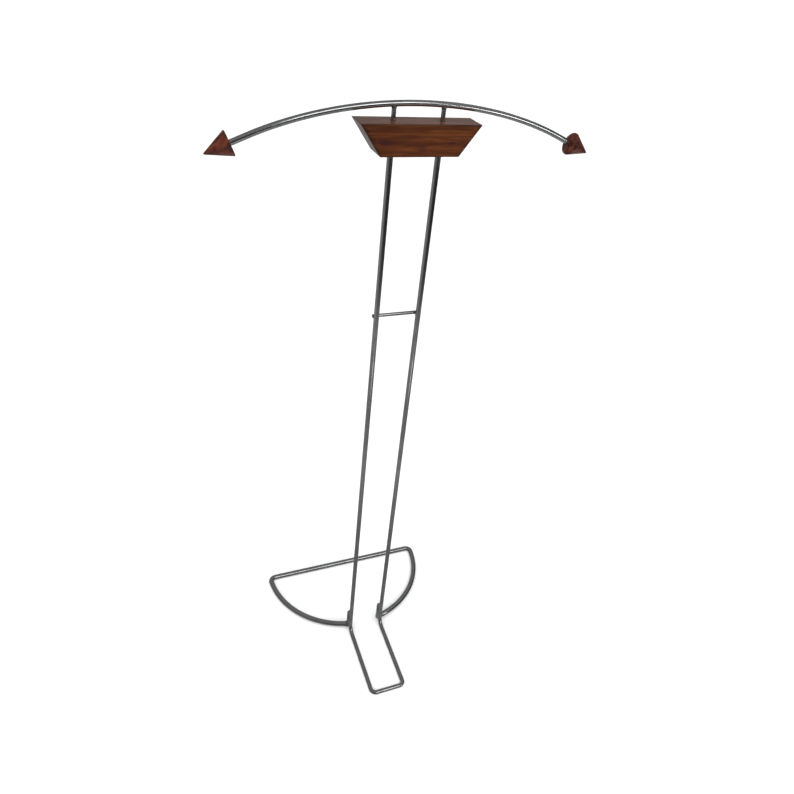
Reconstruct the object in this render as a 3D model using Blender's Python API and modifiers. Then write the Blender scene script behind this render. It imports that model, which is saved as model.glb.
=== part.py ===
"""A valet stand of polished steel rod and wood.

One rod is bent into the front foot and the two uprights. A thicker rod makes an open,
D-shaped ring behind them: its straight back lies on the floor and its ends are held a
little above it by two short posts. The uprights end in sockets in the bottom of a
wooden trouser block. Two thinner pegs stand in its top and carry an arched hanger bar,
which has a wooden cone on each end.

Units are metres and +Z is up. The front faces -Y. The origin is at the middle of the
bounding box's floor side; the leg plane, in which both uprights stand, is a little in
front of it.
"""

from math import asin, atan, cos, pi, sin, sqrt, tan

import bmesh
import bpy
from mathutils import Matrix, Vector

# Driving dimensions

STAND_HEIGHT = 0.9995
GAP = 0.0003  # clearance between pieces that touch
MERGE_DISTANCE = 0.00001  # points closer than this are one
ROD_SIDES = 12
BEND_STEPS = 8  # straight stretches in a rod's bend
ROUNDING_STEPS = 4  # and in the rounding of an edge
TURNED_STEPS = 32

UPRIGHT_RADIUS = 0.0038
UPRIGHT_SPACING = 0.0625  # from centre line to centre line
FOOT_REACH = 0.144  # from the leg plane forward to the foot's crosspiece
FOOT_BEND = 0.016
FOOT_CORNER = 0.009

RING_ROD_RADIUS = 0.005
RING_RADIUS = 0.160  # of the half circle's centre line
RING_CORNER = 0.010
RING_ARC_STEPS = 18
RING_LIFT = 0.0035  # of the ring's two ends, while its back lies on the floor
POST_BOTTOM = 0.006
POST_TOP = 0.046
POST_ROUNDING = 0.0015

CROSS_BAR_RADIUS = 0.0025
CROSS_BAR_HEIGHT = 0.718

HANGER_RADIUS = 0.0035
HANGER_HALF_WIDTH = 0.355  # half axes of the ellipse that the bar follows
HANGER_HALF_HEIGHT = 0.2146
HANGER_BEND_END = 0.200  # X where the bend ends and the bar runs straight
HANGER_SEAT_X = 0.2173  # where each cone's base sits on the bar
HANGER_STEPS = 32
PEG_RADIUS = 0.0028  # of the two short rods that carry the bar

FINIAL_RADIUS = 0.0143
FINIAL_LENGTH = 0.0309
FINIAL_ROUNDING = 0.0013  # of the base's edge and of the tip
FINIAL_SOCKET = 0.012  # depth of the blind bore for the bar's end

BLOCK_TOP = 0.977
BLOCK_HEIGHT = 0.0368
BLOCK_TOP_WIDTH = 0.1535
BLOCK_BOTTOM_WIDTH = 0.1005
BLOCK_DEPTH = 0.0365
BLOCK_EDGE = 0.001
BLOCK_EDGE_STEPS = 2
BLOCK_SOCKET = 0.0145  # depth of its bores, for the pegs above and the uprights below

WELD_STEPS = 20
HANGER_WELD = (0.0039, 0.0044, 0.0026)  # half extents of the bead before it is trimmed
CROSS_BAR_WELD = (0.0049, 0.0022, 0.0038)
POST_WELD = (0.0044, 0.0026, 0.0120)
POST_WELD_OVER_TOP = 0.0035  # how far the bead stands above the post
RING_WELD = (0.0062, 0.0062, 0.0053)
RING_WELD_RISE = 0.0006  # of the bead's middle over the rod's, so that it arches over it

# Worked-out places

HALF_SPACING = UPRIGHT_SPACING / 2
HANGER_HEIGHT = STAND_HEIGHT - HANGER_RADIUS  # of the centre line at the middle
POST_Y = UPRIGHT_RADIUS + GAP + RING_ROD_RADIUS
RING_START_Y = sqrt(RING_RADIUS**2 - HALF_SPACING**2)  # from the posts to the chord
CHORD_Y = POST_Y + RING_START_Y
RING_TILT = asin(RING_LIFT / RING_START_Y)
CROSS_BAR_Y = UPRIGHT_RADIUS + GAP + CROSS_BAR_RADIUS
FRONT_REACH = FOOT_REACH + UPRIGHT_RADIUS
BACK_REACH = CHORD_Y + RING_ROD_RADIUS
LEG_PLANE_Y = (FRONT_REACH - BACK_REACH) / 2
UPRIGHT_TOP = BLOCK_TOP - BLOCK_HEIGHT + BLOCK_SOCKET - GAP
PEG_BOTTOM = BLOCK_TOP - BLOCK_SOCKET + GAP
SIDES = {"left": -1, "right": 1}


def hanger_level(x):
    """The cosine of the ellipse's angle at x: 1 in the middle, where the bar is level."""
    return sqrt(1 - (x / HANGER_HALF_WIDTH) ** 2)


def hanger_slope(x):
    """How steeply the hanger bar's centre line falls at x."""
    bent = min(abs(x), HANGER_BEND_END)
    return HANGER_HALF_HEIGHT * bent / HANGER_HALF_WIDTH**2 / hanger_level(bent)


def hanger_drop(x):
    """How far the hanger bar's centre line at x is below its middle."""
    bent = min(abs(x), HANGER_BEND_END)
    straight = abs(x) - bent
    return HANGER_HALF_HEIGHT * (1 - hanger_level(bent)) + straight * hanger_slope(x)


PEG_TOP = HANGER_HEIGHT - hanger_drop(HALF_SPACING + PEG_RADIUS) - HANGER_RADIUS - GAP


# Materials


def material(name, colour, roughness, metallic=0.0):
    made = bpy.data.materials.new(name)
    made.use_nodes = True
    shader = made.node_tree.nodes["Principled BSDF"]
    shader.inputs["Base Color"].default_value = (*colour, 1)
    shader.inputs["Roughness"].default_value = roughness
    shader.inputs["Metallic"].default_value = metallic
    return made


# Scene and tools


def clear_scene():
    for old in list(bpy.data.objects):
        bpy.data.objects.remove(old)


def new_collection(name):
    collection = bpy.data.collections.new(name)
    bpy.context.scene.collection.children.link(collection)
    return collection


def add_object(name, data, place=(0, 0, 0)):
    """A new object in the stand's collection, placed from the leg plane's foot."""
    made = bpy.data.objects.new(name, data)
    parts.objects.link(made)
    made.parent = stand
    made.location = place
    return made


def as_cutter(piece):
    """Keeps a piece out of the object, as a shape that only cuts others."""
    parts.objects.unlink(piece)
    cutters.objects.link(piece)
    piece.hide_render = True
    piece.display_type = "WIRE"
    return piece


def cut(piece, cutter):
    modifier = piece.modifiers.new("cut " + cutter.name, "BOOLEAN")
    modifier.operation = "DIFFERENCE"
    modifier.solver = "EXACT"
    modifier.object = cutter


def fillet(before, corner, after, radius):
    """Points along the arc that rounds a path's corner."""
    towards = (before - corner).normalized()
    away = (after - corner).normalized()
    half_angle = towards.angle(away) / 2
    centre = corner + (towards + away).normalized() * radius / sin(half_angle)
    first = corner + towards * radius / tan(half_angle) - centre
    turn = pi - 2 * half_angle
    axis = towards.cross(away)
    steps = range(BEND_STEPS + 1)
    return [centre + Matrix.Rotation(-turn * i / BEND_STEPS, 3, axis) @ first for i in steps]


def rounded_path(corners, radii):
    """Straight stretches between the corners, with each inner corner rounded."""
    path = [corners[0]]
    for before, corner, after, radius in zip(corners, corners[1:], corners[2:], radii):
        path += fillet(before, corner, after, radius)
    return path + [corners[-1]]


def rod(name, path, radius, finish, place=(0, 0, 0), tilt=0.0):
    """A round rod along a path, with flat ends."""
    curve = bpy.data.curves.new(name, "CURVE")
    curve.dimensions = "3D"
    curve.bevel_depth = radius
    curve.bevel_resolution = ROD_SIDES // 2 - 2
    curve.use_fill_caps = True
    spline = curve.splines.new("POLY")
    spline.points.add(len(path) - 1)
    for point, where in zip(spline.points, path):
        point.co = (*where, 1)
        point.tilt = tilt
    curve.materials.append(finish)
    return add_object(name, curve, place)


def as_mesh(piece):
    """The same piece as a closed mesh, which a Boolean can take."""
    bpy.context.view_layer.update()
    graph = bpy.context.evaluated_depsgraph_get()
    mesh = bpy.data.meshes.new_from_object(piece.evaluated_get(graph))
    shape = bmesh.new()
    shape.from_mesh(mesh)
    bmesh.ops.remove_doubles(shape, verts=shape.verts, dist=MERGE_DISTANCE)
    bmesh.ops.recalc_face_normals(shape, faces=shape.faces)
    shape.to_mesh(mesh)
    shape.free()
    name, matrix = piece.name, piece.matrix_world.copy()
    bpy.data.objects.remove(piece)
    made = add_object(name, mesh)
    made.matrix_world = matrix
    return made


def turned(name, profile, finish, place, rotation=(0, 0, 0)):
    """A turned piece: (radius, height) points down its outside, turned about Z."""
    mesh = bpy.data.meshes.new(name)
    edges = [(i, i + 1) for i in range(len(profile) - 1)]
    mesh.from_pydata([(radius, 0, height) for radius, height in profile], edges, [])
    mesh.materials.append(finish)
    made = add_object(name, mesh, place)
    made.rotation_euler = rotation
    screw = made.modifiers.new("turn", "SCREW")
    screw.steps = TURNED_STEPS
    screw.render_steps = TURNED_STEPS
    screw.use_merge_vertices = True
    screw.merge_threshold = MERGE_DISTANCE
    screw.use_smooth_shade = True
    return made


def corner_arc(centre, radius, start, end, steps):
    """Points on an arc of a flat profile, between two angles in radians."""
    angles = [start + (end - start) * i / steps for i in range(steps + 1)]
    return [(centre[0] + radius * cos(a), centre[1] + radius * sin(a)) for a in angles]


def cutting_rod(name, start, end, radius):
    """A straight rod, as a cutter that leaves the gap around a real one.

    Half a side's tilt keeps its edges off those of the rods that cross it.
    """
    path = [Vector(start), Vector(end)]
    piece = rod(name, path, radius + GAP, chrome, tilt=pi / ROD_SIDES)
    return as_cutter(as_mesh(piece))


def upright_cutters(name, y, bottom, top, radius):
    """A cutting rod on each side of the stand, by the side's name."""
    made = {}
    for side, sign in SIDES.items():
        x = sign * HALF_SPACING
        made[side] = cutting_rod(f"{name}_{side}", (x, y, bottom), (x, y, top), radius)
    return made


def weld(name, place, half_extents, trimmed_by):
    """A bead: an ellipsoid over a joint, less the pieces that meet there."""
    mesh = bpy.data.meshes.new(name)
    shape = bmesh.new()
    bmesh.ops.create_uvsphere(
        shape, u_segments=WELD_STEPS, v_segments=WELD_STEPS // 2, radius=1
    )
    bmesh.ops.scale(shape, vec=half_extents, verts=shape.verts)
    shape.to_mesh(mesh)
    shape.free()
    mesh.materials.append(weld_metal)
    mesh.shade_smooth()
    bead = add_object(name, mesh, place)
    for cutter in trimmed_by:
        cut(bead, cutter)
    return bead


# Pieces of rod


def upright_frame():
    """The front foot and both uprights, bent from one rod."""
    x, z = HALF_SPACING, UPRIGHT_RADIUS
    corners = [
        Vector((-x, 0, UPRIGHT_TOP)),
        Vector((-x, 0, z)),
        Vector((-x, -FOOT_REACH, z)),
        Vector((x, -FOOT_REACH, z)),
        Vector((x, 0, z)),
        Vector((x, 0, UPRIGHT_TOP)),
    ]
    radii = [FOOT_BEND, FOOT_CORNER, FOOT_CORNER, FOOT_BEND]
    rod("upright_frame", rounded_path(corners, radii), UPRIGHT_RADIUS, chrome)


def ring_half(side):
    """Centre line of half the ring, from its post to the middle of the chord.

    The half circle's centre is the path's origin, which is also the chord's middle.
    """
    corner_y = -RING_CORNER
    corner_x = sqrt((RING_RADIUS - RING_CORNER) ** 2 - corner_y**2)
    start = asin(HALF_SPACING / RING_RADIUS) - pi / 2
    end = -asin(RING_CORNER / (RING_RADIUS - RING_CORNER))
    arc = corner_arc((0, 0), RING_RADIUS, start, end, RING_ARC_STEPS)
    corner = corner_arc((corner_x, corner_y), RING_CORNER, end, pi / 2, BEND_STEPS)
    return [Vector((side * x, y, 0)) for x, y in arc + corner[1:]]


def ring_rod(name, radius):
    """A rod of this radius along the whole ring, tilted about its chord."""
    path = ring_half(-1) + ring_half(1)[::-1]
    piece = rod(name, path, radius, chrome, (0, CHORD_Y, RING_ROD_RADIUS))
    piece.rotation_euler.x = -RING_TILT
    return as_mesh(piece)


def base_ring(post_clearances):
    """The D-shaped ring: its two ends are hollowed to fit the round posts."""
    ring = ring_rod("base_ring", RING_ROD_RADIUS)
    ring.data.shade_smooth()
    for clearance in post_clearances.values():
        cut(ring, clearance)


def ring_clearance():
    """The ring's rod with the gap around it, as a cutter."""
    return as_cutter(ring_rod("ring_clearance", RING_ROD_RADIUS + GAP))


def ring_post(side):
    """A short rod that stands behind a leg and carries one end of the ring."""
    r, edge = RING_ROD_RADIUS, POST_ROUNDING
    profile = [(0, POST_TOP)]
    profile += corner_arc((r - edge, POST_TOP - edge), edge, pi / 2, 0, ROUNDING_STEPS)
    profile += [(r, POST_BOTTOM), (0, POST_BOTTOM)]
    place = (SIDES[side] * HALF_SPACING, POST_Y, 0)
    turned(f"ring_post_{side}", profile, chrome, place)


def cross_bar():
    """The thin bar across the backs of the uprights, as long as they are wide."""
    end = HALF_SPACING + UPRIGHT_RADIUS
    path = [Vector((-end, 0, 0)), Vector((end, 0, 0))]
    place = (0, CROSS_BAR_Y, CROSS_BAR_HEIGHT)
    rod("cross_bar", path, CROSS_BAR_RADIUS, chrome, place)


def hanger_path():
    """Centre line of the hanger bar, whose straight ends run on into the cones."""
    into_cone = (FINIAL_SOCKET - GAP) * cos(atan(hanger_slope(HANGER_SEAT_X)))
    end = HANGER_SEAT_X + into_cone
    steps = [2 * i / HANGER_STEPS - 1 for i in range(HANGER_STEPS + 1)]
    across = [-end] + [HANGER_BEND_END * step for step in steps] + [end]
    return [Vector((x, 0, -hanger_drop(x))) for x in across]


def hanger_bar():
    rod("hanger_bar", hanger_path(), HANGER_RADIUS, chrome, (0, 0, HANGER_HEIGHT))


def hanger_clearance():
    """The hanger bar with the gap around it, as a cutter."""
    place = (0, 0, HANGER_HEIGHT)
    piece = rod("hanger_clearance", hanger_path(), HANGER_RADIUS + GAP, chrome, place)
    return as_cutter(as_mesh(piece))


def hanger_peg(side):
    """A short rod from its socket in the block up to the hanger bar."""
    x = SIDES[side] * HALF_SPACING
    path = [Vector((x, 0, PEG_BOTTOM)), Vector((x, 0, PEG_TOP))]
    rod(f"hanger_peg_{side}", path, PEG_RADIUS, chrome)


# Beads of weld


def hanger_weld(side, peg, hanger):
    place = (SIDES[side] * HALF_SPACING, 0, PEG_TOP)
    weld(f"hanger_weld_{side}", place, HANGER_WELD, [peg, hanger])


def cross_bar_weld(side, upright, bar):
    place = (SIDES[side] * HALF_SPACING, UPRIGHT_RADIUS + GAP / 2, CROSS_BAR_HEIGHT)
    weld(f"cross_bar_weld_{side}", place, CROSS_BAR_WELD, [upright, bar])


def post_weld(side, upright, post):
    height = POST_TOP + POST_WELD_OVER_TOP - POST_WELD[2]
    place = (SIDES[side] * HALF_SPACING, UPRIGHT_RADIUS + GAP / 2, height)
    weld(f"post_weld_{side}", place, POST_WELD, [upright, post])


def ring_weld(side, post, ring):
    """The bead where the ring meets its post, on the side that the ring leaves from."""
    share = RING_ROD_RADIUS / RING_RADIUS
    x = SIDES[side] * (HALF_SPACING + share * RING_START_Y)
    height = RING_ROD_RADIUS + RING_LIFT + RING_WELD_RISE
    place = (x, POST_Y + share * HALF_SPACING, height)
    weld(f"ring_weld_{side}", place, RING_WELD, [post, ring])


# Pieces of wood


def trouser_block(sockets):
    """A block that narrows towards its bottom, bored for the pegs and the uprights."""
    mesh = bpy.data.meshes.new("trouser_block")
    shape = bmesh.new()
    bmesh.ops.create_cube(shape, size=1)
    for corner in shape.verts:
        width = BLOCK_TOP_WIDTH if corner.co.z > 0 else BLOCK_BOTTOM_WIDTH
        corner.co.x *= width
        corner.co.y *= BLOCK_DEPTH
        corner.co.z *= BLOCK_HEIGHT
    shape.to_mesh(mesh)
    shape.free()
    mesh.materials.append(rosewood)
    block = add_object("trouser_block", mesh, (0, 0, BLOCK_TOP - BLOCK_HEIGHT / 2))
    bevel = block.modifiers.new("soften edges", "BEVEL")
    bevel.width = BLOCK_EDGE
    bevel.segments = BLOCK_EDGE_STEPS
    for socket in sockets:
        cut(block, socket)


def finial(side):
    """A cone that points along the bar's end, with a blind bore in its flat base."""
    edge = FINIAL_ROUNDING
    half_angle = atan((FINIAL_RADIUS - edge) / (FINIAL_LENGTH - 2 * edge))
    bore = HANGER_RADIUS + GAP
    tip, rim = (0, FINIAL_LENGTH - edge), (FINIAL_RADIUS - edge, edge)
    profile = corner_arc(tip, edge, pi / 2, half_angle, ROUNDING_STEPS)
    profile += corner_arc(rim, edge, half_angle, -pi / 2, ROUNDING_STEPS)
    profile += [(bore, 0), (bore, FINIAL_SOCKET), (0, FINIAL_SOCKET)]
    height = HANGER_HEIGHT - hanger_drop(HANGER_SEAT_X)
    place = (SIDES[side] * HANGER_SEAT_X, 0, height)
    lean = SIDES[side] * (pi / 2 + atan(hanger_slope(HANGER_SEAT_X)))
    turned(f"finial_{side}", profile, cone_wood, place, (0, lean, 0))


# The stand

clear_scene()
parts = new_collection("valet_stand")
cutters = new_collection("cutters")
stand = bpy.data.objects.new("leg_plane", None)
stand.location = (0, LEG_PLANE_Y, 0)
parts.objects.link(stand)

chrome = material("chrome", (0.55, 0.56, 0.56), 0.12, 1)
weld_metal = material("weld_metal", (0.42, 0.42, 0.41), 0.35, 1)
rosewood = material("rosewood", (0.13, 0.035, 0.012), 0.32)
cone_wood = material("cone_wood", (0.17, 0.040, 0.016), 0.34)

upright_space = upright_cutters("upright_space", 0, FOOT_BEND, UPRIGHT_TOP + GAP, UPRIGHT_RADIUS)
peg_space = upright_cutters("peg_space", 0, PEG_BOTTOM - GAP, HANGER_HEIGHT, PEG_RADIUS)
post_space = upright_cutters("post_space", POST_Y, -POST_TOP, POST_TOP, RING_ROD_RADIUS)
ring_space = ring_clearance()
hanger_space = hanger_clearance()
bar_end = HALF_SPACING + 2 * UPRIGHT_RADIUS
bar_space = cutting_rod(
    "bar_space",
    (-bar_end, CROSS_BAR_Y, CROSS_BAR_HEIGHT),
    (bar_end, CROSS_BAR_Y, CROSS_BAR_HEIGHT),
    CROSS_BAR_RADIUS,
)

upright_frame()
base_ring(post_space)
cross_bar()
hanger_bar()
trouser_block([*upright_space.values(), *peg_space.values()])
for side in SIDES:
    ring_post(side)
    hanger_peg(side)
    finial(side)
    hanger_weld(side, peg_space[side], hanger_space)
    cross_bar_weld(side, upright_space[side], bar_space)
    post_weld(side, upright_space[side], post_space[side])
    ring_weld(side, post_space[side], ring_space)
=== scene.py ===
"""The looks of a valet stand of polished steel rod and wood.

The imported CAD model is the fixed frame. Each of its pieces is replaced by a finer one in
the same place: smooth rods with softened ends, welds that flow into the rods, turned
wooden cones and a bored wooden block. Every surface keeps its own coordinates in a mesh
attribute, and the materials draw their grain and polish from it.

Units are metres and +Z is up. The front faces -Y.
"""

from math import asin, atan, cos, pi, radians, sin, sqrt, tan

import bmesh
import bpy
from mathutils import Matrix, Vector

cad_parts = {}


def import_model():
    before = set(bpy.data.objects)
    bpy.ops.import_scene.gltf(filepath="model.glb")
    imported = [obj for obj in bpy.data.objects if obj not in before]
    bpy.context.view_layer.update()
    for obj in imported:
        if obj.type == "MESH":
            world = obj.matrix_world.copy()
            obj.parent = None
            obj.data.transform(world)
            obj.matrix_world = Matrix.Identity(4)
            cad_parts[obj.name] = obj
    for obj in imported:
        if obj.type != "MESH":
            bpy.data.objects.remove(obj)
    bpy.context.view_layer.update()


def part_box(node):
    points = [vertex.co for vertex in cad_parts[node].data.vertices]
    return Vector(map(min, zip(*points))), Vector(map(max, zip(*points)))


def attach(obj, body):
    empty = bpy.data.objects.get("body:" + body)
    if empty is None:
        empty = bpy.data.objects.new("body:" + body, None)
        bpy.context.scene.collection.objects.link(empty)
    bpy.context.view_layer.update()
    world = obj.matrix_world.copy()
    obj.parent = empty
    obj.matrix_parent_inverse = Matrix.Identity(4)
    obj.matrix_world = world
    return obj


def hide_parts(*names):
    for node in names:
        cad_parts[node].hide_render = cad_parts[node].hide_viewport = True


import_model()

# Rods, as part.py has them

UPRIGHT_RADIUS = 0.0038
RING_ROD_RADIUS = 0.005
CROSS_BAR_RADIUS = 0.0025
HANGER_RADIUS = 0.0035
PEG_RADIUS = 0.0028

# Places and sizes that the CAD boxes give

post_low, post_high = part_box("ring_post_right")
frame_low, frame_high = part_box("upright_frame")
peg_low, peg_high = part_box("hanger_peg_right")
ring_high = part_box("base_ring")[1]
hanger_low, hanger_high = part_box("hanger_bar")
bar_low, bar_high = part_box("cross_bar")
block_low, block_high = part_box("trouser_block")

HALF_SPACING = (post_low.x + post_high.x) / 2  # from the middle to an upright's axis
LEG_PLANE_Y = (hanger_low.y + hanger_high.y) / 2
FOOT_FRONT_Y = frame_low.y + UPRIGHT_RADIUS
UPRIGHT_TOP = frame_high.z
PEG_BOTTOM, PEG_TOP = peg_low.z, peg_high.z
CHORD_Y = ring_high.y - RING_ROD_RADIUS
POST_Y = (post_low.y + post_high.y) / 2
POST_BOTTOM, POST_TOP = post_low.z, post_high.z
CROSS_BAR_Y = (bar_low.y + bar_high.y) / 2
CROSS_BAR_Z = (bar_low.z + bar_high.z) / 2
HANGER_Z = hanger_high.z - HANGER_RADIUS
BLOCK_DEPTH = block_high.y - block_low.y
BLOCK_HEIGHT = block_high.z - block_low.z
BLOCK_TOP_WIDTH = block_high.x - block_low.x
BLOCK_Z = (block_low.z + block_high.z) / 2

# Shapes that the CAD boxes can't give

FOOT_BEND = 0.016
FOOT_CORNER = 0.009
RING_RADIUS = 0.160
RING_CORNER = 0.010
RING_LIFT = 0.0035  # of the ring's two ends, while its back lies on the floor
RING_START_Y = sqrt(RING_RADIUS**2 - HALF_SPACING**2)  # from the posts to the chord
HANGER_HALF_WIDTH = 0.355  # half axes of the ellipse that the bar follows
HANGER_HALF_HEIGHT = 0.2146
HANGER_BEND_END = 0.200  # X where the bend ends and the bar runs straight
HANGER_SEAT_X = 0.2173
FINIAL_RADIUS = 0.0143
FINIAL_LENGTH = 0.0309
FINIAL_ROUNDING = 0.0011
FINIAL_SOCKET = 0.012
BLOCK_BOTTOM_WIDTH = 0.1005
BLOCK_EDGE = 0.0009
BLOCK_EDGE_STEPS = 4
BORE_GAP = 0.0003
SOCKET_FLARE = 0.0004
END_ROUNDING = 0.0006  # of a cut rod's edge
BORE_ROUNDING = 0.0003  # of the edge of a cone's bore

# Welds: (half extents of the bead, how softly the rods' surfaces run together)

HANGER_WELD = (0.0040, 0.0044, 0.0026), 0.0016
CROSS_BAR_WELD = (0.0048, 0.0030, 0.0044), 0.0040
POST_WELD = (0.0050, 0.0034, 0.0125), 0.0048
RING_WELD = (0.0068, 0.0068, 0.0049), 0.0050
POST_WELD_DEPTH = 0.011  # of the bead's middle under the post's top
WELD_SINK = 0.00004  # keeps the bead's skin just under the surface where the rods blend
RIPPLE_HEIGHT = 0.00010
RIPPLE_PITCH = 0.0011
WELD_SEARCH_STEPS = 18

# Fineness

TUBE_SIDES = 40
BEND_STEPS = 20
ARC_STEPS = 72
TURNED_STEPS = 96
ROUNDING_STEPS = 5
WELD_STEPS = 56
SHARP_ANGLE = radians(35)  # edges that turn further stay sharp
SURFACE = "surface_place"  # attribute: a point's place on its piece before it was bent

SIDES = {"left": -1, "right": 1}
BODY = "root"

# Camera: the photographer looks down at the stand from its front left

CAMERA_PLACE = (-0.3136, -0.7497, 1.1485)
CAMERA_YAW = radians(23.905)  # from +Y towards +X
CAMERA_PITCH = radians(-35.348)
CAMERA_ROLL = radians(6.563)
SENSOR_WIDTH = 36.0
LENS = 29.2

# Studio

FLOOR_RADIUS = 80
FLOOR_COLOUR = (0.90, 0.90, 0.90, 1)
SKY_POWER = 3.9
SKY_ANGLE = radians(100)  # how much of the sky gives the light
SKY_TURN = (radians(25), radians(-15), 0)
SOFT_LIGHTS = [  # (name, place, what it faces, width, height, power)
    ("window", (0.46, -2.12, 2.22), (0, 0, 1), 1.30, 0.85, 9.6),
    ("side_window", (1.50, -2.00, 1.12), (0, 0, 1), 0.80, 0.50, 6.0),
    ("low_card", (0.14, -1.10, 0.06), (0, 0, 0.1), 0.38, 0.12, 0.20),
]
ROOM_TONES = [  # (a direction's height on a unit sphere, brightness left, right and ahead)
    (-1.00, 0.42, 0.42, 0.42),
    (-0.77, 0.18, 0.18, 0.22),
    (-0.70, 0.16, 0.16, 0.24),
    (-0.61, 0.32, 0.32, 0.34),
    (-0.54, 0.24, 0.18, 0.36),
    (-0.48, 0.26, 0.15, 0.36),
    (-0.42, 0.26, 0.32, 0.36),
    (-0.38, 0.30, 0.26, 0.35),
    (-0.34, 0.32, 0.05, 0.34),
    (-0.20, 0.30, 0.015, 0.36),
    (0.10, 0.07, 0.025, 0.34),
    (0.25, 0.10, 0.08, 0.28),
    (0.50, 0.14, 0.12, 0.13),
    (0.66, 0.25, 0.24, 0.16),
    (0.84, 0.25, 0.24, 0.18),
    (1.00, 0.19, 0.19, 0.19),
]

# Finishes

CHROME_COLOUR = (0.60, 0.61, 0.61)
CHROME_ROUGHNESS = 0.10
WELD_TONES = (0.13, 0.13, 0.15), (0.30, 0.30, 0.32), (0.46, 0.44, 0.40)
ROSEWOOD_TONES = (0.048, 0.0105, 0.0015), (0.075, 0.0180, 0.0028), (0.104, 0.0285, 0.0055)
CONE_WOOD_TONES = (0.036, 0.007, 0.005), (0.072, 0.0145, 0.0075), (0.118, 0.030, 0.015)
BLOCK_LACQUER, CONE_LACQUER = 0.6, 0.5  # share of clear coat
KNOT_COLOUR = (0.030, 0.005, 0.008, 1)
EDGE_COLOUR = (0.014, 0.005, 0.003, 1)
END_DARK_BAND_SHARE = 0.45  # the dark edge reaches further in from the block's two ends
KNOT_STRETCH = (0.40, 0.0, 1.0)  # a knot is longer along the grain and runs through the block
BLOCK_KNOTS = [  # (x, z, size)
    (0.001, -0.0087, 0.0040),
    (-0.046, -0.0030, 0.0036),
    (0.039, -0.0020, 0.0026),
]


# Nodes


def node(tree, kind, inputs=None, **settings):
    """A new node, with its settings made and its inputs set or joined."""
    made = tree.nodes.new("ShaderNode" + kind)
    for key, value in settings.items():
        setattr(made, key, value)
    for key, value in (inputs or {}).items():
        join(tree, made.inputs[key], value)
    return made


def join(tree, socket, value):
    """Sets a socket to a constant, or joins another node's output to it."""
    if isinstance(value, bpy.types.NodeSocket):
        tree.links.new(value, socket)
    else:
        socket.default_value = value


def new_finish(name, **constants):
    """A material whose Principled shader holds these constants."""
    made = bpy.data.materials.new(name)
    made.use_nodes = True
    shader = made.node_tree.nodes["Principled BSDF"]
    for key, value in constants.items():
        shader.inputs[key.replace("_", " ")].default_value = value
    return made, made.node_tree, shader


def surface_place(tree):
    return node(tree, "Attribute", attribute_name=SURFACE).outputs["Vector"]


def stretched(tree, vector, scale):
    return node(tree, "Mapping", {"Vector": vector, "Scale": scale}).outputs["Vector"]


def noise(tree, vector, scale, detail=3.0, distortion=0.0):
    inputs = {"Vector": vector, "Scale": scale, "Detail": detail, "Distortion": distortion}
    return node(tree, "TexNoise", inputs).outputs["Fac"]


def spread(tree, value, start, end, low, high):
    """The value carried from one range to another, and held at its ends."""
    inputs = {"Value": value, "From Min": start, "From Max": end, "To Min": low, "To Max": high}
    return node(tree, "MapRange", inputs).outputs["Result"]


def split(tree, vector):
    """The three parts of a vector."""
    return list(node(tree, "SeparateXYZ", {"Vector": vector}).outputs)


def math(tree, operation, first, second=0.0):
    made = node(tree, "Math", operation=operation)
    join(tree, made.inputs[0], first)
    join(tree, made.inputs[1], second)
    return made.outputs["Value"]


def ramp(tree, value, stops):
    """Colours along a value, from (position, colour) stops."""
    made = node(tree, "ValToRGB", {"Fac": value})
    points = made.color_ramp.elements
    while len(points) < len(stops):
        points.new(1.0)
    for point, (position, colour) in zip(points, stops):
        point.position = position
        point.color = (*colour, 1)
    return made.outputs["Color"]


def blend(tree, share, first, second):
    """A number between two others."""
    made = node(tree, "Mix", data_type="FLOAT")
    join(tree, made.inputs[0], share)
    join(tree, made.inputs[2], first)
    join(tree, made.inputs[3], second)
    return made.outputs[0]


def mix(tree, share, first, second):
    """A colour between two others."""
    made = node(tree, "Mix", data_type="RGBA")
    join(tree, made.inputs["Factor"], share)
    colours = [socket for socket in made.inputs if socket.type == "RGBA"]
    join(tree, colours[0], first)
    join(tree, colours[1], second)
    return next(socket for socket in made.outputs if socket.type == "RGBA")


def bump(tree, height, distance, strength=1.0, under=None):
    inputs = {"Height": height, "Distance": distance, "Strength": strength}
    if under is not None:
        inputs["Normal"] = under
    return node(tree, "Bump", inputs).outputs["Normal"]


# Finishes


def polished_rod(name, colour, roughness):
    """Chromed rod: faint drawing marks along it, soft smudges and small dull specks."""
    made, tree, shader = new_finish(name, Metallic=1.0)
    place = surface_place(tree)
    marks = noise(tree, stretched(tree, place, (2600, 2600, 22)), 1.0, 2.0)
    smudges = noise(tree, place, 38.0, 4.0)
    specks = noise(tree, place, 1500.0, 2.0)
    speck_share = spread(tree, specks, 0.66, 0.74, 0.0, 1.0)
    dark = tuple(0.80 * channel for channel in colour)
    tone = mix(tree, spread(tree, smudges, 0.35, 0.70, 0.0, 1.0), (*dark, 1), (*colour, 1))
    dull = tuple(0.45 * channel for channel in colour)
    join(tree, shader.inputs["Base Color"], mix(tree, speck_share, tone, (*dull, 1)))
    rough = spread(tree, smudges, 0.30, 0.75, roughness + 0.07, roughness - 0.02)
    rough = math(tree, "ADD", rough, spread(tree, marks, 0.3, 0.7, 0.0, 0.05))
    rough = math(tree, "ADD", rough, math(tree, "MULTIPLY", speck_share, 0.2))
    join(tree, shader.inputs["Roughness"], rough)
    relief = bump(tree, marks, 0.000003)
    join(tree, shader.inputs["Normal"], bump(tree, smudges, 0.00004, 0.2, relief))
    return made


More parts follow.
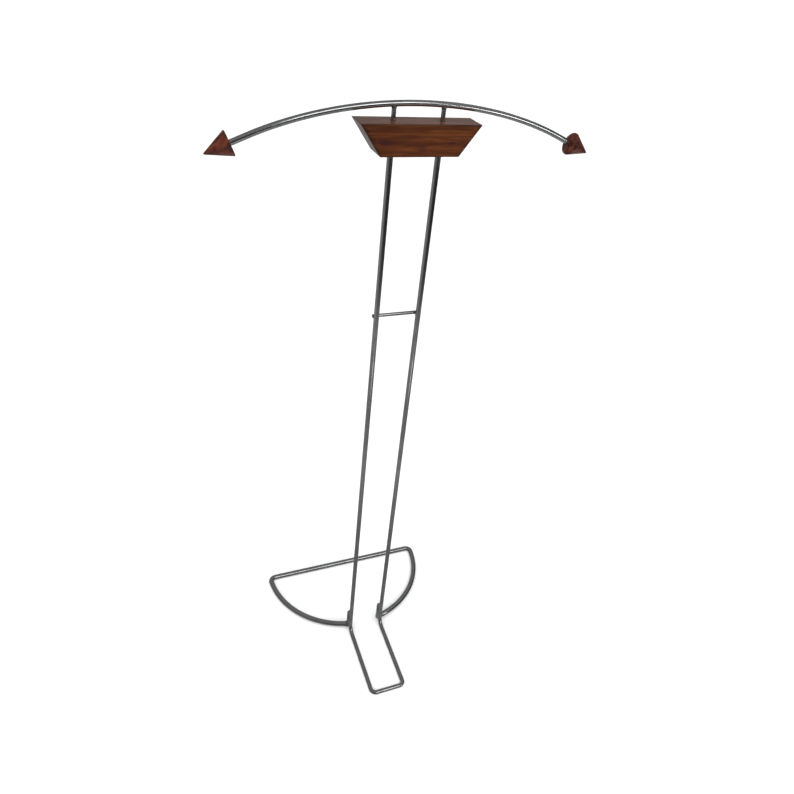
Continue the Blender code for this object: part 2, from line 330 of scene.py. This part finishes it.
def weld_finish():
    """Polished weld: duller than the rods, with uneven ripples and a trace of heat colour."""
    made, tree, shader = new_finish("weld_metal_finish", Metallic=1.0)
    place = surface_place(tree)
    patches = noise(tree, place, 420.0, 3.0)
    dark, middle, light = WELD_TONES
    tone = ramp(tree, patches, [(0.32, dark), (0.50, middle), (0.70, light)])
    join(tree, shader.inputs["Base Color"], tone)
    grit = noise(tree, place, 2200.0, 3.0)
    join(tree, shader.inputs["Roughness"], spread(tree, patches, 0.3, 0.7, 0.42, 0.22))
    join(tree, shader.inputs["Normal"], bump(tree, grit, 0.00006))
    return made


def wood(name, tones, lacquer, to_edge, knots=()):
    """Lacquered hardwood: grain along the piece's own X axis, dark pores and dark edges."""
    made, tree, shader = new_finish(
        name, Coat_Weight=lacquer, Coat_Roughness=0.05, Coat_IOR=1.5, Specular_IOR_Level=0.15
    )
    place = surface_place(tree)
    dark, middle, light = tones
    streaks = noise(tree, stretched(tree, place, (34, 260, 520)), 1.0, 4.0, 0.5)
    bands = noise(tree, stretched(tree, place, (9, 110, 190)), 1.0, 3.0, 0.4)
    grain = blend(tree, 0.5, streaks, bands)
    tone = ramp(tree, grain, [(0.40, dark), (0.50, middle), (0.61, light)])
    pores = noise(tree, stretched(tree, place, (260, 3600, 3600)), 1.0, 2.0)
    pore_share = spread(tree, pores, 0.60, 0.70, 0.0, 0.75)
    tone = mix(tree, pore_share, tone, (*(0.45 * channel for channel in dark), 1))
    for knot in knots:
        tone = mix(tree, knot_share(tree, place, bands, *knot), tone, KNOT_COLOUR)
    ragged = spread(tree, bands, 0.3, 0.7, -0.0010, 0.0010)
    near_edge = math(tree, "ADD", to_edge(tree, place), ragged)
    tone = mix(tree, spread(tree, near_edge, 0.0003, 0.0024, 0.65, 0.0), tone, EDGE_COLOUR)
    join(tree, shader.inputs["Base Color"], tone)
    join(tree, shader.inputs["Roughness"], spread(tree, grain, 0.35, 0.65, 0.50, 0.34))
    relief = bump(tree, pore_share, 0.00005, 0.6)
    join(tree, shader.inputs["Normal"], bump(tree, bands, 0.00005, 0.4, relief))
    return made


def knot_share(tree, place, ragged, x, z, size):
    """How much of a knot there is: a ragged oval at (x, z), drawn out along the grain."""
    flat = stretched(tree, place, KNOT_STRETCH)
    centre = (x * KNOT_STRETCH[0], 0, z * KNOT_STRETCH[2])
    away = node(tree, "VectorMath", {0: flat, 1: centre}, operation="DISTANCE").outputs["Value"]
    away = math(tree, "ADD", away, spread(tree, ragged, 0.3, 0.7, -0.4 * size, 0.4 * size))
    return spread(tree, away, 0.3 * size, size, 0.8, 0.0)


def to_block_edge(tree, place):
    """Distance to the block's nearest edge, from a point on one of its faces."""
    height = split(tree, place)[2]
    x, y, z = (math(tree, "ABSOLUTE", axis) for axis in split(tree, place))
    top, bottom = BLOCK_TOP_WIDTH / 2, BLOCK_BOTTOM_WIDTH / 2
    half_width = spread(tree, height, -BLOCK_HEIGHT / 2, BLOCK_HEIGHT / 2, bottom, top)
    # Distances from the two slanted ends are shortened, so the dark band along the edges reaches
    # further in there
    from_end = math(tree, "MULTIPLY", math(tree, "SUBTRACT", half_width, x), END_DARK_BAND_SHARE)
    from_front = math(tree, "SUBTRACT", BLOCK_DEPTH / 2, y)
    from_top = math(tree, "SUBTRACT", BLOCK_HEIGHT / 2, z)
    lesser = math(tree, "MINIMUM", from_end, from_front)
    greater = math(tree, "MAXIMUM", from_end, from_front)
    return math(tree, "MAXIMUM", lesser, math(tree, "MINIMUM", greater, from_top))


def to_cone_edge(tree, place):
    """Distance to the rim of a cone's base or to its tip, from a point on its surface."""
    height, *across = split(tree, place)
    squares = [math(tree, "POWER", axis, 2.0) for axis in across]
    radius = math(tree, "SQRT", math(tree, "ADD", *squares))
    to_rim = math(tree, "MAXIMUM", height, math(tree, "SUBTRACT", FINIAL_RADIUS, radius))
    return math(tree, "MINIMUM", to_rim, math(tree, "SUBTRACT", FINIAL_LENGTH, height))


# Mesh tools


def add_piece(name, mesh, finish, replaced, matrix=None):
    """A piece that rides on the stand in place of a CAD node and takes its finish."""
    mesh.materials.clear()
    mesh.materials.append(finish)
    piece = bpy.data.objects.new(name, mesh)
    bpy.context.scene.collection.objects.link(piece)
    if matrix is not None:
        piece.matrix_world = matrix
    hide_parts(replaced)
    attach(piece, BODY)


def mark_surface(mesh, places):
    """Stores each vertex's place on its unbent piece, for the materials."""
    attribute = mesh.attributes.new(SURFACE, "FLOAT_VECTOR", "POINT")
    attribute.data.foreach_set("vector", [c for place in places for c in place])


def arc(centre, radius, start, end, steps):
    """Points (across, along) on an arc of a flat outline."""
    angles = [start + (end - start) * i / steps for i in range(steps + 1)]
    return [(centre[0] + radius * cos(a), centre[1] + radius * sin(a)) for a in angles]


def fillet(before, corner, after, radius):
    """Points along the arc that rounds a path's corner."""
    towards = (before - corner).normalized()
    away = (after - corner).normalized()
    half_angle = towards.angle(away) / 2
    centre = corner + (towards + away).normalized() * radius / sin(half_angle)
    first = corner + towards * radius / tan(half_angle) - centre
    turn = pi - 2 * half_angle
    axis = towards.cross(away)
    steps = range(BEND_STEPS + 1)
    return [centre + Matrix.Rotation(-turn * i / BEND_STEPS, 3, axis) @ first for i in steps]


def rounded_path(corners, radii):
    path = [corners[0]]
    for before, corner, after, radius in zip(corners, corners[1:], corners[2:], radii):
        path += fillet(before, corner, after, radius)
    return path + [corners[-1]]


def softened_ends(path, radius):
    """(place, direction, radius) stations along a path, its ends rounded over."""
    ways = [(after - before).normalized() for before, after in zip(path, path[1:])]
    turns = [(way + following).normalized() for way, following in zip(ways, ways[1:])]
    rounding = arc((radius - END_ROUNDING, END_ROUNDING), END_ROUNDING, 0, -pi / 2, ROUNDING_STEPS)
    stations = [(path[0] + ways[0] * inset, ways[0], wide) for wide, inset in rounding[::-1]]
    stations += list(zip(path[1:-1], turns, [radius] * len(turns)))
    return stations + [(path[-1] - ways[-1] * inset, ways[-1], wide) for wide, inset in rounding]


def tube(name, path, radius, finish, replaced):
    """A round rod along a path, with softened ends."""
    shape = bmesh.new()
    places = []
    rings = []
    length = 0.0
    last_place, last_way = path[0], (path[1] - path[0]).normalized()
    across = last_way.orthogonal().normalized()
    for place, way, wide in softened_ends(path, radius):
        across = last_way.rotation_difference(way) @ across
        length += (place - last_place).length
        ring = []
        for i in range(TUBE_SIDES):
            angle = 2 * pi * i / TUBE_SIDES
            spoke = Matrix.Rotation(angle, 3, way) @ across * wide
            ring.append(shape.verts.new(place + spoke))
            places.append((radius * cos(angle), radius * sin(angle), length))
        rings.append(ring)
        last_place, last_way = place, way
    for ring, following in zip(rings, rings[1:]):
        for i in range(TUBE_SIDES):
            j = (i + 1) % TUBE_SIDES
            shape.faces.new((ring[i], ring[j], following[j], following[i])).smooth = True
    shape.faces.new(rings[0][::-1])
    shape.faces.new(rings[-1])
    mesh = bpy.data.meshes.new(name)
    shape.to_mesh(mesh)
    shape.free()
    mark_surface(mesh, places)
    add_piece(name, mesh, finish, replaced)


def turned_mesh(name, profile):
    """A mesh turned about Z from (radius, height) points down its outside."""
    shape = bmesh.new()
    line = [shape.verts.new((radius, 0, height)) for radius, height in profile]
    edges = [shape.edges.new(pair) for pair in zip(line, line[1:])]
    bmesh.ops.spin(
        shape,
        geom=line + edges,
        axis=(0, 0, 1),
        cent=(0, 0, 0),
        steps=TURNED_STEPS,
        angle=2 * pi,
        use_merge=True,
    )
    bmesh.ops.remove_doubles(shape, verts=shape.verts, dist=1e-7)
    bmesh.ops.recalc_face_normals(shape, faces=shape.faces)
    for face in shape.faces:
        face.smooth = True
    mesh = bpy.data.meshes.new(name)
    shape.to_mesh(mesh)
    shape.free()
    return mesh


def applied(mesh, add_modifiers):
    """The mesh with these modifiers applied."""
    carrier = bpy.data.objects.new(mesh.name, mesh)
    bpy.context.scene.collection.objects.link(carrier)
    add_modifiers(carrier)
    graph = bpy.context.evaluated_depsgraph_get()
    made = bpy.data.meshes.new_from_object(carrier.evaluated_get(graph))
    bpy.data.objects.remove(carrier)
    return made


# Rods


def upright_frame():
    x, z = HALF_SPACING, UPRIGHT_RADIUS
    back, front = LEG_PLANE_Y, FOOT_FRONT_Y
    corners = [
        Vector((-x, back, UPRIGHT_TOP)),
        Vector((-x, back, z)),
        Vector((-x, front, z)),
        Vector((x, front, z)),
        Vector((x, back, z)),
        Vector((x, back, UPRIGHT_TOP)),
    ]
    path = rounded_path(corners, [FOOT_BEND, FOOT_CORNER, FOOT_CORNER, FOOT_BEND])
    tube("uprights_and_foot", path, UPRIGHT_RADIUS, chrome, "upright_frame")


def base_ring():
    """The ring: its back lies on the floor and its ends meet the posts behind the legs."""
    corner_y = -RING_CORNER
    corner_x = sqrt((RING_RADIUS - RING_CORNER) ** 2 - corner_y**2)
    start = asin(HALF_SPACING / RING_RADIUS) - pi / 2
    end = -asin(RING_CORNER / (RING_RADIUS - RING_CORNER))
    half = arc((0, 0), RING_RADIUS, start, end, ARC_STEPS)
    half += arc((corner_x, corner_y), RING_CORNER, end, pi / 2, BEND_STEPS)[1:]
    slope = RING_LIFT / RING_START_Y
    right = [Vector((x, CHORD_Y + y, RING_ROD_RADIUS - slope * y)) for x, y in half]
    left = [Vector((-point.x, point.y, point.z)) for point in right]
    path = left + right[::-1]
    tube("floor_ring", path, RING_ROD_RADIUS, chrome, "base_ring")


def cross_bar():
    path = [Vector((x, CROSS_BAR_Y, CROSS_BAR_Z)) for x in (bar_low.x, 0, bar_high.x)]
    tube("trouser_bar", path, CROSS_BAR_RADIUS, chrome, "cross_bar")


def hanger_level(x):
    """The cosine of the ellipse's angle at x: 1 in the middle, where the bar is level."""
    return sqrt(1 - (x / HANGER_HALF_WIDTH) ** 2)


def hanger_slope(x):
    """How steeply the hanger bar falls at x, away from the middle."""
    bent = min(abs(x), HANGER_BEND_END)
    return HANGER_HALF_HEIGHT * bent / HANGER_HALF_WIDTH**2 / hanger_level(bent)


def hanger_z(x):
    """Height of the hanger bar's centre line."""
    bent = min(abs(x), HANGER_BEND_END)
    straight = abs(x) - bent
    drop = HANGER_HALF_HEIGHT * (1 - hanger_level(bent)) + straight * hanger_slope(x)
    return HANGER_Z - drop


def hanger_bar():
    """The arched bar, whose straight ends run on into the cones."""
    steps = [2 * i / ARC_STEPS - 1 for i in range(ARC_STEPS + 1)]
    across = [hanger_low.x] + [HANGER_BEND_END * step for step in steps] + [hanger_high.x]
    path = [Vector((x, LEG_PLANE_Y, hanger_z(x))) for x in across]
    tube("hanger_rod", path, HANGER_RADIUS, chrome, "hanger_bar")


def hanger_peg(side):
    x = SIDES[side] * HALF_SPACING
    path = [Vector((x, LEG_PLANE_Y, z)) for z in (PEG_BOTTOM, (PEG_BOTTOM + PEG_TOP) / 2, PEG_TOP)]
    tube(f"peg_{side}", path, PEG_RADIUS, chrome, f"hanger_peg_{side}")


def ring_post(side):
    r, top_edge, edge = RING_ROD_RADIUS, 2 * END_ROUNDING, END_ROUNDING
    profile = [(0, POST_TOP)]
    profile += arc((r - top_edge, POST_TOP - top_edge), top_edge, pi / 2, 0, ROUNDING_STEPS)
    profile += arc((r - edge, POST_BOTTOM + edge), edge, 0, -pi / 2, ROUNDING_STEPS)
    profile += [(0, POST_BOTTOM)]
    mesh = turned_mesh(f"post_{side}", profile)
    mark_surface(mesh, [vertex.co for vertex in mesh.vertices])
    place = Matrix.Translation((SIDES[side] * HALF_SPACING, POST_Y, 0))
    add_piece(f"post_{side}", mesh, chrome, f"ring_post_{side}", place)


# Welds


def smooth_least(first, second, width):
    """The lesser of two distances, rounded off where they are nearly equal."""
    share = max(width - abs(first - second), 0) / width
    return min(first, second) - share * share * width / 4


def rod_distance(point, rod):
    """Distance from a point to a rod given as (place on its axis, direction, radius)."""
    place, way, radius = rod
    offset = point - place
    return (offset - way * offset.dot(way)).length - radius


def weld(name, centre, bead, rods, replaced):
    """Metal that fills the corner between two rods, within reach of the centre."""
    reach, softness = bead
    shape = bmesh.new()
    bmesh.ops.create_uvsphere(shape, u_segments=WELD_STEPS, v_segments=WELD_STEPS // 2, radius=1)
    for vertex in shape.verts:
        ray = Vector([a * b for a, b in zip(vertex.co, reach)])
        inside, outside = 0.0, 1.0
        for _ in range(WELD_SEARCH_STEPS):
            share = (inside + outside) / 2
            point = centre + ray * share
            ripple = RIPPLE_HEIGHT * sin(2 * pi * (ray * share).length / RIPPLE_PITCH)
            gap = smooth_least(*(rod_distance(point, rod) for rod in rods), softness)
            if gap + WELD_SINK + ripple < 0:
                inside = share
            else:
                outside = share
        vertex.co = ray * inside
    for face in shape.faces:
        face.smooth = True
    mesh = bpy.data.meshes.new(name)
    shape.to_mesh(mesh)
    shape.free()
    mark_surface(mesh, [vertex.co for vertex in mesh.vertices])
    add_piece(name, mesh, weld_metal, replaced, Matrix.Translation(centre))


def welds(side):
    """The four welds on one side of the stand."""
    x = SIDES[side] * HALF_SPACING
    up, along = Vector((0, 0, 1)), Vector((1, 0, 0))
    upright = (Vector((x, LEG_PLANE_Y, 0)), up, UPRIGHT_RADIUS)
    post = (Vector((x, POST_Y, 0)), up, RING_ROD_RADIUS)
    slope = Vector((1, 0, -SIDES[side] * hanger_slope(x))).normalized()
    hanger = (Vector((x, LEG_PLANE_Y, hanger_z(x))), slope, HANGER_RADIUS)
    bar = (Vector((0, CROSS_BAR_Y, CROSS_BAR_Z)), along, CROSS_BAR_RADIUS)
    back = LEG_PLANE_Y + UPRIGHT_RADIUS

    peg = (Vector((x, LEG_PLANE_Y, 0)), up, PEG_RADIUS)
    seat = Vector((x, LEG_PLANE_Y, PEG_TOP))
    weld(f"weld_hanger_{side}", seat, HANGER_WELD, [peg, hanger], f"hanger_weld_{side}")
    crossing = Vector((x, back, CROSS_BAR_Z))
    weld(f"weld_bar_{side}", crossing, CROSS_BAR_WELD, [upright, bar], f"cross_bar_weld_{side}")
    joint = Vector((x, back, POST_TOP - POST_WELD_DEPTH))
    weld(f"weld_post_{side}", joint, POST_WELD, [upright, post], f"post_weld_{side}")

    spoke = Vector((SIDES[side] * RING_START_Y, HALF_SPACING, 0)) / RING_RADIUS
    ring_end = Vector((x, POST_Y, RING_ROD_RADIUS + RING_LIFT))
    ring = (ring_end, spoke, RING_ROD_RADIUS)
    face = ring_end + spoke * RING_ROD_RADIUS
    weld(f"weld_ring_{side}", face, RING_WELD, [post, ring], f"ring_weld_{side}")


# Wood


def trouser_block():
    """The block that narrows downwards, with sockets for the uprights and the pegs."""
    shape = bmesh.new()
    bmesh.ops.create_cube(shape, size=1)
    for corner in shape.verts:
        corner.co.x *= BLOCK_TOP_WIDTH if corner.co.z > 0 else BLOCK_BOTTOM_WIDTH
        corner.co.y *= BLOCK_DEPTH
        corner.co.z *= BLOCK_HEIGHT
    mesh = bpy.data.meshes.new("rail_block")
    shape.to_mesh(mesh)
    shape.free()
    sockets = []
    for x in (-HALF_SPACING, HALF_SPACING):
        sockets.append(socket_cutter(x, UPRIGHT_RADIUS, UPRIGHT_TOP - BLOCK_Z, -1))
        sockets.append(socket_cutter(x, PEG_RADIUS, PEG_BOTTOM - BLOCK_Z, 1))

    def carve(carrier):
        soften = carrier.modifiers.new("soften", "BEVEL")
        soften.width = BLOCK_EDGE
        soften.segments = BLOCK_EDGE_STEPS
        for socket in sockets:
            drill = carrier.modifiers.new("drill", "BOOLEAN")
            drill.operation = "DIFFERENCE"
            drill.object = socket

    made = applied(mesh, carve)
    for socket in sockets:
        bpy.data.objects.remove(socket)
    made = shaded(made)
    mark_surface(made, [vertex.co for vertex in made.vertices])
    place = Matrix.Translation((0, LEG_PLANE_Y, BLOCK_Z))
    add_piece("rail_block", made, rosewood, "trouser_block", place)


def socket_cutter(x, radius, rod_end, way):
    """A cutter for one rod's socket, up to the rod's end and flared at its mouth."""
    face, outside = BLOCK_HEIGHT / 2, BLOCK_HEIGHT
    bottom = way * rod_end - BORE_GAP
    wide = radius + BORE_GAP
    profile = [(0, outside), (wide + SOCKET_FLARE + outside - face, outside)]
    profile += [(wide, face - SOCKET_FLARE), (wide, bottom), (0, bottom)]
    cutter = bpy.data.objects.new("socket", turned_mesh("socket", profile))
    bpy.context.scene.collection.objects.link(cutter)
    turn = Matrix.Rotation(0 if way > 0 else pi, 4, "X")
    cutter.matrix_world = Matrix.Translation((x, 0, 0)) @ turn
    return cutter


def shaded(mesh):
    """The mesh shaded smooth up to its sharp edges, with its large faces kept flat."""
    smooth_by_angle(mesh, SHARP_ANGLE)

    def weigh(carrier):
        modifier = carrier.modifiers.new("weigh", "WEIGHTED_NORMAL")
        modifier.keep_sharp = True

    return applied(mesh, weigh)


def smooth_by_angle(mesh, limit):
    """Smooth shading, apart from edges that turn by more than the limit."""
    shape = bmesh.new()
    shape.from_mesh(mesh)
    for face in shape.faces:
        face.smooth = True
    for edge in shape.edges:
        edge.smooth = len(edge.link_faces) == 2 and edge.calc_face_angle() < limit
    shape.to_mesh(mesh)
    shape.free()


def finial(side):
    """A turned cone on the end of the hanger rod, its flat base towards the middle."""
    edge = FINIAL_ROUNDING
    half_angle = atan((FINIAL_RADIUS - edge) / (FINIAL_LENGTH - 2 * edge))
    bore = HANGER_RADIUS + BORE_GAP
    profile = arc((0, FINIAL_LENGTH - edge), edge, pi / 2, half_angle, ROUNDING_STEPS)
    flank = arc((FINIAL_RADIUS - edge, edge), edge, half_angle, -pi / 2, 2 * ROUNDING_STEPS)
    profile += flank + [(bore + BORE_ROUNDING, 0), (bore, BORE_ROUNDING)]
    profile += [(bore, FINIAL_SOCKET), (0, FINIAL_SOCKET)]
    mesh = shaded(turned_mesh(f"cone_{side}", profile))
    mark_surface(mesh, [(vertex.co.z, vertex.co.x, vertex.co.y) for vertex in mesh.vertices])
    sign = SIDES[side]
    x = sign * HANGER_SEAT_X
    lean = Matrix.Rotation(sign * (pi / 2 + atan(hanger_slope(HANGER_SEAT_X))), 4, "Y")
    place = Matrix.Translation((x, LEG_PLANE_Y, hanger_z(x))) @ lean
    add_piece(f"cone_{side}", mesh, cone_wood, f"finial_{side}", place)


# Studio


def floor():
    bpy.ops.mesh.primitive_circle_add(vertices=96, radius=FLOOR_RADIUS, fill_type="NGON")
    made = bpy.context.object
    made.name = "floor"
    finish = new_finish("floor_paint", Roughness=0.9, Base_Color=FLOOR_COLOUR)[0]
    made.data.materials.append(finish)
    made.visible_glossy = False


def world():
    """What the metal mirrors: a grey room, darkest at the horizon on the right.

    Its tones depend on the direction in the room and not on where the camera stands. The
    camera itself sees plain white beyond the floor.
    """
    made = bpy.data.worlds.new("studio")
    made.use_nodes = True
    tree = made.node_tree
    tree.nodes.clear()
    place = node(tree, "TexCoord").outputs["Generated"]
    way = node(tree, "SeparateXYZ", {"Vector": place}).outputs
    height = spread(tree, way["Z"], -1.0, 1.0, 0.0, 1.0)
    left, right, ahead = (
        ramp(tree, height, [(0.5 + 0.5 * row[0], (row[side],) * 3) for row in ROOM_TONES])
        for side in (1, 2, 3)
    )
    leftwards = math(tree, "POWER", spread(tree, way["X"], 0.2, -1.0, 0.0, 1.0), 2.0)
    sideways = mix(tree, leftwards, right, left)
    tones = mix(tree, spread(tree, way["Y"], 0.3, 0.9, 0.0, 1.0), sideways, ahead)
    around = node(tree, "Background", {"Color": tones}).outputs["Background"]
    seen = node(tree, "Background", {"Color": (1, 1, 1, 1)}).outputs["Background"]
    either = node(tree, "MixShader")
    join(tree, either.inputs[0], node(tree, "LightPath").outputs["Is Camera Ray"])
    join(tree, either.inputs[1], around)
    join(tree, either.inputs[2], seen)
    out = node(tree, "OutputWorld")
    join(tree, out.inputs["Surface"], either.outputs[0])
    bpy.context.scene.world = made


def sky_light():
    """Even light from above, which the metal doesn't mirror."""
    data = bpy.data.lights.new("sky", "SUN")
    data.angle = SKY_ANGLE
    data.energy = SKY_POWER
    made = bpy.data.objects.new("sky", data)
    bpy.context.scene.collection.objects.link(made)
    made.rotation_euler = SKY_TURN
    made.visible_glossy = False


def soft_light(name, place, target, width, height, power):
    """A window or card that lights the stand from one side and shows in its metal."""
    data = bpy.data.lights.new(name, "AREA")
    data.shape = "RECTANGLE"
    data.size = width
    data.size_y = height
    data.energy = power
    made = bpy.data.objects.new(name, data)
    bpy.context.scene.collection.objects.link(made)
    made.location = place
    made.rotation_euler = (Vector(target) - Vector(place)).to_track_quat("-Z", "Y").to_euler()
    made.visible_camera = False


def camera():
    data = bpy.data.cameras.new("camera")
    data.sensor_width = SENSOR_WIDTH
    data.lens = LENS
    made = bpy.data.objects.new("camera", data)
    bpy.context.scene.collection.objects.link(made)
    turn = Matrix.Rotation(-CAMERA_YAW, 4, "Z") @ Matrix.Rotation(pi / 2 + CAMERA_PITCH, 4, "X")
    turn @= Matrix.Rotation(CAMERA_ROLL, 4, "Z")
    made.matrix_world = Matrix.Translation(CAMERA_PLACE) @ turn
    bpy.context.scene.camera = made


# The stand and its studio

chrome = polished_rod("chrome_finish", CHROME_COLOUR, CHROME_ROUGHNESS)
weld_metal = weld_finish()
rosewood = wood("rosewood_finish", ROSEWOOD_TONES, BLOCK_LACQUER, to_block_edge, BLOCK_KNOTS)
cone_wood = wood("cone_wood_finish", CONE_WOOD_TONES, CONE_LACQUER, to_cone_edge)

upright_frame()
base_ring()
cross_bar()
hanger_bar()
trouser_block()
for side in SIDES:
    ring_post(side)
    hanger_peg(side)
    welds(side)
    finial(side)

floor()
world()
sky_light()
for light in SOFT_LIGHTS:
    soft_light(*light)
camera()
bpy.context.scene.view_settings.view_transform = "Standard"
